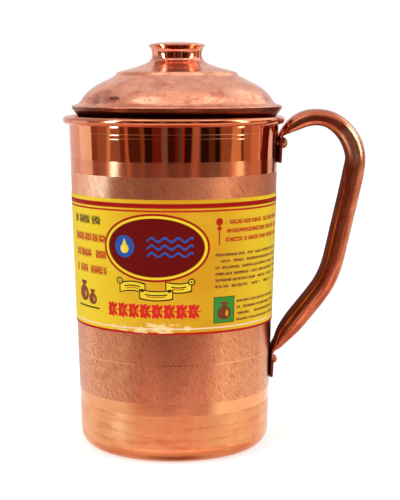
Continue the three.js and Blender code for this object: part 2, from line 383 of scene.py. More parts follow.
def body_finishes():
    """(highest z of the band, material) from the base up."""
    satin = copper_finish("copper_satin_base", (0.94, 0.36, 0.155), (0.26, 0.36), 0.5, 0.4, ACROSS_RINGS,
                          smudges=0.8)
    band = copper_finish("copper_polished_band", (0.90, 0.32, 0.15), (0.08, 0.15), 0.4, 0.5, ACROSS_RINGS)
    brushed = copper_finish("copper_brushed_wall", COPPER, (0.26, 0.34), aniso=0.95, rotation=BRUSH_TURN,
                            relief=0.65, strokes=(1.4, 0.11, 0.65))
    rubbed = copper_finish("copper_rubbed_wall", (0.80, 0.235, 0.11), (0.18, 0.24), aniso=0.85,
                           rotation=BRUSH_TURN, relief=0.12, strokes=(2.0, 0.2, 0.75))
    fine = copper_finish("copper_fine_turned", (0.76, 0.21, 0.10), (0.15, 0.21), 0.4, 0.9, ACROSS_RINGS)
    mirror = copper_finish("copper_mirror_top", COPPER, (0.015, 0.05), 0.05, wobble=1.8)
    rim = copper_finish("copper_rolled_rim", (0.72, 0.22, 0.11), (0.08, 0.16), 0.0, wobble=0.4, smudges=0.8)
    return [(BAND_LOW_Z, satin), (BAND_HIGH_Z, band), (THIN_LINE_Z - 0.2, rubbed), (THIN_LINE_Z + 0.2, band),
            (RUBBED_HIGH_Z, rubbed), (FINE_LOW_Z, brushed), (MIRROR_LOW_Z, fine),
            (BEAD_Z - BEAD_RADIUS, mirror), (math.inf, rim)]


def stain(n, p, centre, size, ragged):
    """Soft ragged patch around a point of the object, millimetres."""
    node = n.add("ShaderNodeVectorMath", {0: p, 1: centre}, operation="SUBTRACT")
    scaled = stretched(n, node.outputs[0], *(1.0 / s for s in size))
    reach = n.add("ShaderNodeVectorMath", {0: scaled}, operation="LENGTH").outputs["Value"]
    edge = n.noise(p, 0.5, 3.0, 0.7)
    reach = n.total(reach, n.math("MULTIPLY", edge, ragged))
    return n.span(reach, 0.8 + ragged / 2, 1.1 + ragged / 2, 1.0, 0.0)


KNOB_LOW_Z = 197.5
LID_WORN_Z = 186.0
LID_STAIN = (-29.5, -39.5, 181.5)
LID_DARK_STREAK = (-38.5, -31.0, 183.0)


def lid_material():
    mat, n = material("copper_lid_polished")
    p = object_mm(n)
    patina = n.noise(stretched(n, p, 0.06, 0.06, 0.12), 1.0, 5.0, 0.66, 0.8)
    streak = n.noise(stretched(n, p, 0.25, 0.25, 0.03), 1.0, 4.0, 0.7)
    grain = n.noise(stretched(n, p, 0.9, 0.9, 1.4), 1.0, 3.0, 0.7)
    colour = n.mix(n.span(patina, 0.38, 0.62), (0.90, 0.36, 0.22), (0.86, 0.30, 0.175))
    colour = n.mix(n.span(patina, 0.50, 0.68, 0.0, 0.8), colour, (0.66, 0.15, 0.085))
    colour = n.mix(n.span(streak, 0.50, 0.70, 0.0, 0.6), colour, (0.60, 0.14, 0.085))
    rub = n.noise(stretched(n, p, 0.11, 0.11, 0.5), 1.0, 5.0, 0.7, 0.4)
    near_edge = n.span(n.split(p)[2], LID_WORN_Z - 5.0, LID_WORN_Z, 1.0, 0.15)
    rub = n.math("MULTIPLY", n.span(rub, 0.52, 0.66, 0.0, 0.8), near_edge)
    colour = n.mix(rub, colour, (0.52, 0.10, 0.045))
    dark = stain(n, p, LID_STAIN, (4.2, 4.2, 1.3), 1.2)
    colour = n.mix(n.math("MULTIPLY", dark, 0.85), colour, (0.17, 0.05, 0.03))
    # a darker streak on the front left of the lid
    dark_streak = stain(n, p, LID_DARK_STREAK, (2.4, 5.0, 6.0), 2.6)
    colour = n.mix(n.math("MULTIPLY", dark_streak, 0.6), colour, (0.3, 0.08, 0.05))
    rough = n.total(n.span(patina, 0.3, 0.7, 0.13, 0.26), n.span(grain, 0.4, 0.7, 0.0, 0.1))
    knob = n.span(n.split(p)[2], KNOB_LOW_Z, KNOB_LOW_Z + 1.5)
    colour = n.mix(knob, colour, n.mix(0.4, colour, COPPER_RED))
    rough = n.total(n.math("MULTIPLY", n.math("SUBTRACT", 1.0, knob), rough), n.math("MULTIPLY", knob, 0.06))
    wobble = n.noise(stretched(n, p, 0.06, 0.06, 0.06), 1.0, 1.0)
    relief = bump(n, grain, 0.4, 0.00005)
    relief = bump(n, wobble, 0.45, 0.001, relief)
    coat(n, colour, rough, normal=relief)
    return mat


def plug_material():
    mat, n = material("copper_plug_tarnish_and_shade")
    p = object_mm(n)
    patina = n.noise(stretched(n, p, 0.08, 0.08, 0.3), 1.0, 4.0, 0.6)
    # tarnished copper, darkened further to paint the shade in the gap under the lid
    colour = n.mix(n.span(patina, 0.35, 0.7), (0.22, 0.05, 0.022), (0.09, 0.02, 0.01))
    coat(n, colour, n.span(patina, 0.3, 0.7, 0.25, 0.4))
    return mat


def lining_material():
    mat, n = material("copper_inside_dull")
    p = object_mm(n)
    patina = n.noise(stretched(n, p, 0.06, 0.06, 0.2), 1.0, 4.0, 0.6)
    colour = n.mix(n.span(patina, 0.35, 0.7), (0.45, 0.13, 0.06), (0.26, 0.07, 0.035))
    coat(n, colour, n.span(patina, 0.3, 0.7, 0.25, 0.4))
    return mat


# centre of a painted highlight on the upper bend of the handle, millimetres
HANDLE_HIGHLIGHT = (91.0, -8.0, 157.0)


def handle_material():
    mat, n = material("copper_handle_glossy")
    p = object_mm(n)
    round_it, along, _ = n.split(n.add("ShaderNodeUVMap", uv_map="UVMap").outputs[0])
    streak = n.noise(n.combine(n.math("MULTIPLY", round_it, 0.9), n.math("MULTIPLY", along, 0.035), 1.0),
                     1.0, 3.0, 0.65)
    fine = n.noise(n.combine(n.math("MULTIPLY", round_it, 3.2), n.math("MULTIPLY", along, 0.06), 5.0),
                   1.0, 2.0, 0.6)
    patina = n.noise(stretched(n, p, 0.09, 0.09, 0.09), 1.0, 5.0, 0.7, 0.5)
    colour = n.mix(n.span(patina, 0.35, 0.65), (0.86, 0.27, 0.135), (0.60, 0.125, 0.052))
    colour = n.mix(n.span(streak, 0.45, 0.62, 0.0, 0.8), colour, (0.36, 0.06, 0.024))
    colour = n.mix(n.span(fine, 0.5, 0.68, 0.0, 0.55), colour, (0.20, 0.03, 0.012))
    # painted highlight: a pale patch where the upper bend of the handle catches the light
    wear_and_highlight = stain(n, p, HANDLE_HIGHLIGHT, (7.0, 8.0, 11.0), 0.6)
    colour = n.mix(n.math("MULTIPLY", wear_and_highlight, 0.6), colour, (0.96, 0.56, 0.38))
    rough = n.span(streak, 0.35, 0.65, 0.2, 0.34)
    relief = bump(n, n.total(streak, n.math("MULTIPLY", fine, 0.5)), 0.45, 0.0003)
    coat(n, colour, rough, normal=relief)
    return mat


def shaded_face_material():
    """Inner face of the handle and its tabs, in a dark matte red-brown that paints their shade and dark
    reflections.
    """
    mat, n = material("copper_handle_painted_shade")
    patina = n.noise(stretched(n, object_mm(n), 0.12, 0.12, 0.12), 1.0, 4.0, 0.65)
    colour = n.mix(n.span(patina, 0.35, 0.65), (0.20, 0.032, 0.014), (0.10, 0.014, 0.006))
    coat(n, colour, 0.7, metallic=0.0, **{"Specular IOR Level": 0.02})
    return mat


# ---------------------------------------------------------------- printed wrap
YELLOW = (0.76, 0.53, 0.024)
ORANGE = (0.59, 0.265, 0.010)
RED = (0.42, 0.012, 0.008)
BRIGHT_RED = (0.58, 0.02, 0.012)
BROWN = (0.16, 0.04, 0.015)
BLUE = (0.02, 0.075, 0.32)
INK = (0.035, 0.012, 0.006)
GREEN = (0.045, 0.22, 0.03)
PINK_WHITE = (0.85, 0.55, 0.42)
PANEL_CENTRE = (-8.8, 109.4)
MEDALLION_U = -24.6
DROP_TOP_V = 113.8
GARLAND_LEFT = -35.5
GARLAND_PITCH = 6.2
GARLAND_V = 78.05


class Print:
    """Layers of flat ink on the wrap, placed in millimetres: u right from the front, v height."""

    def __init__(self, n, u, v, ground):
        self.n, self.u, self.v, self.colour = n, u, v, ground

    def ink(self, mask, colour):
        self.colour = self.n.mix(mask, self.colour, colour)

    def stripe(self, low, high, colour):
        self.ink(self.n.between(self.v, low, high, 0.05), colour)

    def box_mask(self, u0, u1, v0, v1, soft=0.08):
        n = self.n
        return n.math("MULTIPLY", n.between(self.u, u0, u1, soft), n.between(self.v, v0, v1, soft))

    def oval_mask(self, cu, cv, ru, rv, soft=0.1):
        n = self.n
        du = n.math("DIVIDE", n.math("SUBTRACT", self.u, cu), ru)
        dv = n.math("DIVIDE", n.math("SUBTRACT", self.v, cv), rv)
        d = n.math("SQRT", n.math("ADD", n.math("POWER", du, 2.0), n.math("POWER", dv, 2.0)))
        s = soft / min(ru, rv)
        return n.span(d, 1.0 - s, 1.0 + s, 1.0, 0.0)

    def leaf_mask(self, cu, cv, half_length, half_width, degrees):
        """A pointed leaf: where two circles overlap, turned by the given angle."""
        n, a = self.n, math.radians(degrees)
        du, dv = n.math("SUBTRACT", self.u, cu), n.math("SUBTRACT", self.v, cv)
        along = n.total(n.math("MULTIPLY", du, math.cos(a)), n.math("MULTIPLY", dv, math.sin(a)))
        across = n.total(n.math("MULTIPLY", dv, math.cos(a)), n.math("MULTIPLY", du, -math.sin(a)))
        radius = (half_length ** 2 + half_width ** 2) / (2 * half_width)
        reach = n.math("ADD", n.math("ABSOLUTE", across), radius - half_width)
        d = n.math("SQRT", n.total(n.math("POWER", along, 2.0), n.math("POWER", reach, 2.0)))
        return n.span(d, radius - 0.08, radius + 0.08, 1.0, 0.0)

    def pot(self, cu, cv, size, colour, shade):
        """A round water pot with a neck and a lip."""
        self.ink(self.oval_mask(cu, cv, 3.9 * size, 3.2 * size), colour)
        self.ink(self.box_mask(cu - 1.3 * size, cu + 1.3 * size, cv + 2.4 * size, cv + 4.6 * size), colour)
        self.ink(self.box_mask(cu - 2.3 * size, cu + 2.3 * size, cv + 4.2 * size, cv + 5.2 * size), colour)
        self.ink(self.oval_mask(cu + 1.5 * size, cv - 0.2 * size, 0.9 * size, 1.5 * size), shade)

    def curve_mask(self, u0, u1, v_mid, bow, half):
        """A band half high each way that follows v_mid + bow * t * t, t from -1 to 1 over u0..u1."""
        n = self.n
        t = n.math("DIVIDE", n.math("SUBTRACT", self.u, (u0 + u1) / 2), (u1 - u0) / 2)
        mid = n.math("ADD", n.math("MULTIPLY", n.math("MULTIPLY", t, t), bow), v_mid)
        off = n.math("ABSOLUTE", n.math("SUBTRACT", self.v, mid))
        band = n.span(off, half - 0.08, half + 0.08, 1.0, 0.0)
        return n.math("MULTIPLY", band, n.between(self.u, u0, u1, 0.08))

    def lines(self, u0, u1, v_top, pitch, rows, height, colour, seed):
        """Rows of small broken strokes that stand for text, with no letters in them."""
        n = self.n
        v0 = v_top - pitch * rows
        row = n.math("DIVIDE", n.math("SUBTRACT", v_top, self.v), pitch)
        phase = n.math("FRACT", row)
        line = n.between(phase, 0.5 - height / pitch / 2, 0.5 + height / pitch / 2, 0.06)
        row_id = n.math("FLOOR", row)
        words = n.noise(n.combine(n.math("MULTIPLY", self.u, 0.33), n.math("MULTIPLY", row_id, 7.3), seed),
                        1.0, 0.0)
        strokes = n.noise(n.combine(n.math("MULTIPLY", self.u, 2.3), n.math("MULTIPLY", self.v, 0.9), seed),
                          1.0, 1.0)
        mask = n.math("MULTIPLY", line, n.span(words, 0.36, 0.40))
        mask = n.math("MULTIPLY", mask, n.span(strokes, 0.36, 0.50))
        mask = n.math("MULTIPLY", mask, self.box_mask(u0, u1, v0, v_top))
        self.ink(mask, colour)


def borders(art):
    art.stripe(128.7, 131.0, (0.30, 0.005, 0.003))
    art.stripe(126.9, 127.8, RED)
    art.stripe(69.0, 69.7, PINK_WHITE)
    art.stripe(66.3, 67.6, RED)


def oval_panel(art):
    art.ink(art.oval_mask(*PANEL_CENTRE, 27.9, 16.8), (0.30, 0.006, 0.004))
    art.ink(art.oval_mask(*PANEL_CENTRE, 26.7, 15.7), YELLOW)
    art.ink(art.oval_mask(*PANEL_CENTRE, 25.2, 14.5), (0.125, 0.003, 0.002))


def medallion(art):
    """A round medallion with a drop of water."""
    n, u, v = art.n, art.u, art.v
    art.ink(art.oval_mask(MEDALLION_U, 109.8, 5.4, 5.5), BLUE)
    art.ink(art.oval_mask(MEDALLION_U, 108.7, 2.3, 2.3), YELLOW)
    taper = n.math("MULTIPLY", n.math("SUBTRACT", DROP_TOP_V, v), 0.42)
    off_centre = n.math("ABSOLUTE", n.math("SUBTRACT", u, MEDALLION_U))
    tip = n.span(n.math("SUBTRACT", off_centre, taper), -0.08, 0.08, 1.0, 0.0)
    tip = n.math("MULTIPLY", tip, n.between(v, 109.3, DROP_TOP_V, 0.05))
    art.ink(tip, YELLOW)
    art.ink(art.oval_mask(-25.4, 108.4, 0.7, 1.0), PINK_WHITE)


def waves_in_panel(art):
    n, u, v = art.n, art.u, art.v
    wave_length, row_pitch, rise = 6.6, 3.7, 0.95
    phase = n.math("MULTIPLY", n.math("ADD", u, 11.8), TAU / wave_length)
    crest = n.math("MULTIPLY", n.math("SINE", phase), rise)
    height = n.math("SUBTRACT", n.math("SUBTRACT", v, crest), 104.2)
    row = n.math("FRACT", n.math("DIVIDE", height, row_pitch))
    waves = n.math("MULTIPLY", n.between(row, 0.34, 0.66, 0.03), art.box_mask(-12.6, 10.6, 104.9, 114.9))
    art.ink(waves, BLUE)


def ribbon(art):
    """A ribbon in three folds, with an outline."""
    folds = [(-27.5, -14.0, 90.4, -1.2, 2.0), (-3.0, 9.5, 89.6, 0.9, 2.0), (-16.5, 0.0, 85.7, 0.9, 2.0)]
    for u0, u1, mid, bow, half in folds:
        art.ink(art.curve_mask(u0 - 0.5, u1 + 0.5, mid, bow, half + 0.6), INK)
        art.ink(art.curve_mask(u0 + 0.1, u1 - 0.1, mid, bow, half - 0.05), YELLOW)
        art.ink(art.curve_mask(u0 + 2.5, u1 - 2.5, mid + 0.3, bow * 0.5, 0.32), INK)
        art.ink(art.curve_mask(u0 + 3.5, u1 - 3.5, mid - 0.7, bow * 0.5, 0.22), RED)
    for cu in (-27.7, 9.7):
        art.ink(art.oval_mask(cu, 92.7, 1.9, 1.8), INK)
        art.ink(art.oval_mask(cu, 92.7, 1.2, 1.1), YELLOW)
        art.ink(art.oval_mask(cu, 92.7, 0.55, 0.5), INK)
    for cu in (-15.3, -1.4):
        art.ink(art.oval_mask(cu, 88.3, 1.1, 0.8), INK)


def garland(art):
    """Leaves and berries in place of a title: one cell, repeated along the line and mirrored below it."""
    n, u, v = art.n, art.u, art.v
    art.ink(art.box_mask(GARLAND_LEFT, 14.7, 77.75, 78.35), BRIGHT_RED)
    place = n.math("FRACT", n.math("DIVIDE", n.math("SUBTRACT", u, GARLAND_LEFT), GARLAND_PITCH))
    above_line = n.math("ABSOLUTE", n.math("SUBTRACT", v, GARLAND_V))
    sprig = Print(n, n.math("MULTIPLY", place, GARLAND_PITCH), above_line, None)
    large_leaf = sprig.leaf_mask(2.1, 1.75, 2.6, 1.15, 48)
    small_leaf = sprig.leaf_mask(4.4, 1.6, 2.2, 0.95, 48)
    berry = sprig.oval_mask(1.0, 2.6, 0.85, 0.85)
    leaves = n.math("MAXIMUM", n.math("MAXIMUM", large_leaf, small_leaf), berry)
    art.ink(n.math("MULTIPLY", leaves, art.box_mask(GARLAND_LEFT, 14.1, 74.0, 82.2)), BRIGHT_RED)


def right_side(art):
    """A small tree and rows of strokes."""
    art.ink(art.box_mask(23.6, 24.4, 110.4, 123.0), RED)
    art.ink(art.oval_mask(24.0, 121.8, 1.9, 1.9), RED)
    art.ink(art.oval_mask(24.0, 118.6, 1.3, 1.0), RED)
    art.lines(27.5, 74.0, 123.6, 4.3, 3, 2.1, RED, 1.0)
    art.lines(22.0, 78.0, 107.0, 3.15, 6, 1.35, BROWN, 2.0)
    art.lines(35.0, 74.0, 83.2, 3.1, 4, 1.25, BROWN, 3.0)


def pot_panel(art):
    """A green panel with a small pot."""
    art.ink(art.box_mask(21.3, 33.7, 71.4, 84.6), (0.02, 0.09, 0.015))
    art.ink(art.box_mask(21.7, 33.3, 71.8, 84.2), GREEN)
    art.pot(27.5, 76.4, 1.05, BROWN, ORANGE)


def left_side(art):
    """Rows of strokes above two pots on a shelf line."""
    art.lines(-64.0, -39.5, 125.6, 8.4, 1, 4.0, INK, 4.0)
    art.lines(-64.0, -36.0, 116.5, 8.0, 3, 3.9, RED, 5.0)
    for cu, cv, size in ((-56.0, 83.5, 1.1), (-47.5, 81.5, 0.8)):
        art.pot(cu, cv, size * 1.12, INK, INK)
        art.pot(cu, cv, size, (0.24, 0.045, 0.02), ORANGE)
    art.ink(art.box_mask(-63.0, -42.0, 76.6, 77.4), INK)


def worn_edge(art, p):
    """Ink rubbed away low on the front."""
    n = art.n
    wear_and_highlight = n.noise(stretched(n, p, 0.16, 0.16, 0.35), 1.0, 3.0, 0.6)
    wear_and_highlight = n.math("MULTIPLY", n.span(wear_and_highlight, 0.47, 0.53), art.oval_mask(-12.0, 69.6, 22.0, 2.6))
    art.ink(n.math("MULTIPLY", wear_and_highlight, 0.8), (0.84, 0.62, 0.30))


def far_side(art):
    """More rows of strokes round the back."""
    art.lines(92.0, 150.0, 123.0, 4.2, 9, 1.6, BROWN, 6.0)
    art.lines(-150.0, -80.0, 123.0, 4.2, 10, 1.8, RED, 7.0)


def label_material():
    mat, n = material("printed_paper_wrap")
    uv = n.add("ShaderNodeUVMap", uv_map="UVMap").outputs[0]
    u_raw, v, _ = n.split(uv)
    # u = 0 at the front (-Y), which is three quarters of the way round from +X
    ref = wall_radius(LABEL_HIGH_Z) + LABEL_GAP + LABEL_THICKNESS
    u = n.math("SUBTRACT", u_raw, ref * TAU * 0.75)
    p = object_mm(n)
    mottle = n.noise(stretched(n, p, 0.05, 0.05, 0.05), 1.0, 2.0)
    side = n.span(n.math("ABSOLUTE", n.math("SUBTRACT", u, 6.0)), 8.0, 60.0, smooth=True)
    ground = n.mix(side, ORANGE, YELLOW)
    ground = n.mix(n.span(mottle, 0.4, 0.7, 0.0, 0.25), ground, YELLOW)
    art = Print(n, u, v, ground)
    for block in (borders, oval_panel, medallion, waves_in_panel, ribbon, garland, right_side, pot_panel,
                  left_side):
        block(art)
    # the worn edge comes after the front blocks, so that it rubs through them
    worn_edge(art, p)
    far_side(art)
    wrinkle = n.noise(stretched(n, p, 0.10, 0.10, 0.03), 1.0, 2.0)
    fibre = n.noise(p, 2.5, 2.0)
    relief = bump(n, fibre, 0.15, 0.00003)
    relief = bump(n, wrinkle, 0.35, 0.0006, relief)
    coat(n, art.colour, 0.5, metallic=0.0, normal=relief, **{"Specular IOR Level": 0.05})
    return mat


# ---------------------------------------------------------------- pieces
def body_loop():
    """Outline of the spun sheet: out along the base, up the wall, round the rolled rim and down inside."""
    corner = WALL_LOW_RADIUS - CORNER_RADIUS
    bead = RIM_RADIUS - BEAD_RADIUS
    w = wall_radius

    def line(z, half, depth):
        return [(w(z - half), z - half), (w(z) - depth, z), (w(z + half), z + half)]

    wall = [(w(z), z) for z in (9.0, 13.0, 17.0, 21.0, BAND_LOW_Z, 27.8, BAND_HIGH_Z, 34.0, 38.0, 42.0,
                                46.0, 49.5)]
    wall += [(w(z), z) for z in (THIN_LINE_Z - 0.22, THIN_LINE_Z + 0.22)]
    wall += [(w(z), z) for z in (52.0, 56.0, 62.0, 68.0, 76.0, 84.0, 92.0, 100.0, 108.0, 116.0, 124.0, 132.0,
                                 138.0, FINE_LOW_Z, 147.0, MIRROR_LOW_Z, 154.0, 157.0)]
    wall += [(w(z), z) for z in (160.5, 161.3, 161.55)] + line(FINE_LINE_Z, 0.22, 0.05) + [(w(162.3), 162.3)]
    seat = SEAT_Z
    wall += [(w(z), z) for z in (163.1, 163.5)] + line(seat, 0.22, 0.06) + [(w(164.3), 164.3)]
    slit = [(w(166.7), 166.7), (w(167.5), 167.4), (w(167.7) - 0.02, 168.1),
            (bead - BEAD_RADIUS + SHEET, BEAD_Z - 0.6)]
    curl = arc(bead, BEAD_Z, BEAD_RADIUS - SHEET, 178, -80, 14) + arc(bead, BEAD_Z, BEAD_RADIUS, -80, 180, 22)
    inner = [(w(z) - SHEET, z) for z in (167.9, 166.6)]
    rib = arc(SEAT_INNER_RADIUS + 0.87, seat, 0.87, 90, 270, 8)
    rib = [(w(seat) - SHEET, seat + 1.1)] + rib + [(w(seat) - SHEET, seat - 1.1)]
    inside = [(w(z) - SHEET, float(z)) for z in range(158, 8, -10)]
    bottom = arc(corner, CORNER_RADIUS, CORNER_RADIUS - SHEET, 0, -90, 10)
    return ([(0.0, 0.0), (20.0, 0.0)] + arc(corner, CORNER_RADIUS, CORNER_RADIUS, -90, 0, 16) + wall + slit
            + curl + inner + rib + inside + bottom + [(20.0, SHEET), (0.0, SHEET)])


def make_body(finishes, inside):
    obj = turned("jug_body_spun", body_loop(), SEGMENTS, sharp=35)
    mesh = obj.data
    for _, mat in finishes:
        mesh.materials.append(mat)
    mesh.materials.append(inside)
    for poly in mesh.polygons:
        z = poly.center.z / MM
        r = math.hypot(poly.center.x, poly.center.y) / MM
        lining = r < wall_radius(z) - 0.35 and SHEET / 2 < z < 168.0 and (r < 40 or z > CORNER_RADIUS)
        if z < CORNER_RADIUS and z > SHEET / 2:
            corner = math.hypot(r - WALL_LOW_RADIUS + CORNER_RADIUS, z - CORNER_RADIUS)
            lining = r < WALL_LOW_RADIUS - CORNER_RADIUS or corner < CORNER_RADIUS - SHEET / 2
        poly.material_index = len(finishes) if lining else next(
            i for i, (top, _) in enumerate(finishes) if z < top)
    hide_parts("jug_body")
    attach(obj, "jug")


def make_label(mat):
    zs = [LABEL_LOW_Z + (LABEL_HIGH_Z - LABEL_LOW_Z) * i / 12 for i in range(13)]
    back = [(wall_radius(z) + LABEL_GAP, z) for z in zs]
    front = [(r + LABEL_THICKNESS, z) for r, z in back]
    facets = SEGMENTS - SEGMENTS * LABEL_SEAM_DEGREES // 360
    start = math.radians(LABEL_SEAM_DEGREES / 2)
    obj = turned("paper_wrap", front + back[::-1], SEGMENTS, start=start, facets=facets, sharp=50)
    obj.data.materials.append(mat)
    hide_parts("label")
    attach(obj, "jug")


def refine(points, steps, corners=()):
    out, run = [], []
    for i, point in enumerate(points):
        run.append(point)
        if i in corners and len(run) > 1:
            out += smooth_path(run, steps)[:-1]
            run = [point]
    return out + smooth_path(run, steps)


def make_lid(mat, plug_mat):
    outer = refine(LID_OUTER, 4, corners=LID_STEP)
    loop = outer + LID_LIP + refine(LID_INNER, 3)
    dome = turned("lid_dome_spun", loop, SEGMENTS, shift=LID_SHIFT, sharp=45)
    dome.data.materials.append(mat)
    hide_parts("lid_dome")
    plug = turned("lid_plug_ring", PLUG_LOOP, SEGMENTS, shift=LID_SHIFT, sharp=45)
    plug.data.materials.append(plug_mat)
    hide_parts("lid_plug")
    cap_loop = CAP_CROWN + arc(13.95, 207.75, 0.5, 70, -40, 8) + CAP_UNDER
    cap = turned("knob_cap_disc", cap_loop, CAP_SEGMENTS, shift=LID_SHIFT, sharp=45)
    cap.data.materials.append(mat)
    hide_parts("knob_cap")
    for obj in (dome, plug, cap):
        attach(obj, "lid")


TAB_DEPTH = 1.9
TAB_GAP = 0.12


def tab_x(z):
    return wall_radius(z) + TAB_GAP + TAB_DEPTH / 2


# (x, z, depth, width) of the tube along its run, from the upper tab to the lower one
HANDLE = [
    (tab_x(147.9), 147.9, 1.9, 15.0), (tab_x(149.4), 149.4, 1.9, 19.6), (tab_x(156.0), 156.0, 1.9, 20.0),
    (tab_x(161.4), 161.4, 1.9, 20.0), (58.1, 164.8, 4.6, 19.4), (62.6, 168.0, 7.2, 19.0),
    (68.4, 170.6, 8.2, 19.0), (74.4, 171.2, 8.3, 19.0), (80.6, 169.9, 8.8, 19.0), (86.0, 166.6, 9.2, 19.0),
    (90.4, 161.8, 9.6, 19.0), (93.3, 156.0, 9.8, 19.0), (94.5, 149.8, 9.6, 19.0), (93.6, 142.6, 10.2, 19.0),
    (91.6, 132.6, 10.2, 19.0), (89.3, 122.2, 10.2, 19.0), (86.9, 111.4, 10.2, 19.0),
    (84.9, 102.2, 10.2, 19.0), (82.7, 93.3, 10.2, 19.0), (79.3, 85.0, 10.2, 19.0),
    (74.2, 77.4, 10.2, 19.0), (68.5, 70.2, 10.2, 19.0),
    (62.8, 63.1, 9.9, 19.0), (58.2, 57.4, 8.0, 19.2), (54.8, 52.5, 5.0, 19.4), (tab_x(48.8), 48.8, 1.9, 20.0),
    (tab_x(44.0), 44.0, 1.9, 20.0), (tab_x(37.0), 37.0, 1.9, 17.0), (tab_x(34.6), 34.6, 1.9, 10.0),
]
# one half of the rounded D section, in shares of half the width and half the depth
HALF_SECTION = [(0.45, -1.0), (0.74, -1.0), (0.93, -0.9), (1.0, -0.66), (1.0, -0.3), (0.99, 0.05),
                (0.93, 0.4), (0.78, 0.7), (0.55, 0.89), (0.28, 0.98)]
HANDLE_SHEET = 0.8
# length of each flat tab along the run
TAB_RUN = 11.0


def handle_ring(width, depth):
    def ring(w, d):
        right = [(0.4, -d)] + [(a * w, b * d) for a, b in HALF_SECTION]
        left = [(-a, b) for a, b in reversed(right)]
        return right + [(0.0, d)] + left
    outer = ring(width / 2, depth / 2)
    inner = ring(width / 2 - HANDLE_SHEET, max(depth / 2 - HANDLE_SHEET, 0.1))
    return outer + inner[::-1]


def handle_mesh(stations):
    """Vertices, faces and UVs (column, length along the run) of the tube, and the run at each station."""
    verts, faces, uvs, runs = [], [], [], []
    n = len(handle_ring(1, 1))
    run = 0.0
    for i, (x, z, depth, width) in enumerate(stations):
        xa, za = stations[max(i - 1, 0)][:2]
        xb, zb = stations[min(i + 1, len(stations) - 1)][:2]
        size = math.hypot(xb - xa, zb - za)
        out = (-(zb - za) / size, (xb - xa) / size)
        run += math.hypot(x - stations[i - 1][0], z - stations[i - 1][1]) if i else 0.0
        runs.append(run)
        for y, d in handle_ring(width, depth):
            verts.append((x + out[0] * d, y, z + out[1] * d))
    for i in range(len(stations) - 1):
        for j in range(n):
            k = (j + 1) % n
            faces.append((i * n + j, i * n + k, (i + 1) * n + k, (i + 1) * n + j))
            uvs.append([(j, runs[i]), (j + 1, runs[i]), (j + 1, runs[i + 1]), (j, runs[i + 1])])
    for base in (0, (len(stations) - 1) * n):
        for j in range(n // 2 - 1):
            faces.append((base + j, base + j + 1, base + n - 2 - j, base + n - 1 - j))
            uvs.append([(0, 0), (1, 0), (1, 1), (0, 1)])
    return verts, faces, uvs, runs


def make_handle(mat, shaded_face):
    verts, faces, uvs, runs = handle_mesh(smooth_path(HANDLE, 5))
    obj = new_object("handle_tube", verts, faces, uvs, sharp=50)
    obj.data.materials.append(mat)
    obj.data.materials.append(shaded_face)
    n = len(handle_ring(1, 1))
    inner_columns = {0, 1, 2, n // 2 - 2, n // 2 - 3, n // 2 - 4}
    for i, poly in enumerate(obj.data.polygons):
        place = runs[min(i // n, len(runs) - 2)]
        tab = place < TAB_RUN or place > runs[-1] - TAB_RUN
        # the inner face and the tabs take the painted-shade material
        poly.material_index = int(i % n in inner_columns or i % n >= n // 2 or tab)
    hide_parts("handle")
    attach(obj, "jug")


UPPER_RIVET_Y = 4.8
UPPER_RIVET_Z = 158.0
LOWER_RIVET_Z = 43.6


def make_rivet(name, node, y, z, radius, height, mat):
    """A domed rivet turned upright, then laid along +X through the wall at (y, z)."""
    wall = wall_radius(z)
    seat = wall + TAB_GAP + TAB_DEPTH + 0.02
    inside = wall - SHEET - abs(y) * 0.14 - 0.22
    loop = [(0.0, inside - 1.0), (1.6, inside - 1.0), (2.4, inside - 0.9), (2.8, inside - 0.6),
            (2.9, inside - 0.2), (2.8, inside), (1.5, inside), (1.5, seat), (radius, seat)]
    for k in range(1, 9):
        a = math.radians(90 * k / 9)
        loop.append((radius * math.cos(a) ** 0.8, seat + height * math.sin(a)))
    loop.append((0.0, seat + height))
    obj = turned(name, loop, RIVET_SEGMENTS, sharp=45)
    mesh = obj.data
    for v in mesh.vertices:
        x0, y0, z0 = v.co
        v.co = (z0, y0 + y * MM, -x0 + z * MM)
    mesh.update()
    mesh.materials.append(mat)
    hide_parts(node)
    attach(obj, "jug")


# ---------------------------------------------------------------- surroundings
FLOOR_RADIUS_M = 3.0
FLOOR_GLOW = 0.56


def floor():
    mesh = bpy.data.meshes.new("floor")
    bm = bmesh.new()
    bmesh.ops.create_circle(bm, cap_ends=True, segments=96, radius=FLOOR_RADIUS_M)
    bm.to_mesh(mesh)
    bm.free()
    obj = bpy.data.objects.new("floor", mesh)
    bpy.context.scene.collection.objects.link(obj)
    mat, n = material("floor_white")
    shader = coat(n, (0.6, 0.6, 0.6), 0.9, metallic=0.0)
    shader.inputs["Emission Color"].default_value = (1.0, 1.0, 1.0, 1.0)
    shader.inputs["Emission Strength"].default_value = FLOOR_GLOW
    mesh.materials.append(mat)
    obj.visible_glossy = False


# what the copper mirrors: directions in degrees round from the front (-Y), positive to the right
EDGE = (0.86, 0.84, 0.82)
LEFT_BARS = [
    (-180, -128, EDGE), (-126, -98, (1.05, 1.32, 1.35)), (-97, -88, (0.26, 0.12, 0.07)),
    (-87, -79, (0.36, 0.22, 0.12)), (-78, -73, (0.75, 0.58, 0.35)), (-72, -61, (0.34, 0.22, 0.15)),
    (-60, -51, (0.16, 0.07, 0.035)), (-50, -46, (0.5, 0.26, 0.14)), (-45, -34, (0.09, 0.03, 0.015)),
    (-33.5, -30, (0.24, 0.12, 0.06)), (-29.5, -22, (0.025, 0.01, 0.004)), (-21, -15, (0.15, 0.03, 0.012)),
    (-14, -8, (0.22, 0.18, 0.17)), (-7, 0, (0.04, 0.014, 0.01)), (1, 4, (0.14, 0.02, 0.004)),
    (5, 8.5, (0.09, 0.11, 0.14)), (9, 11.5, (0.34, 0.05, 0.008)), (12, 19, (0.03, 0.01, 0.005)),
    (20, 26, (0.42, 0.26, 0.2)), (27, 38, (0.025, 0.012, 0.008)),
]
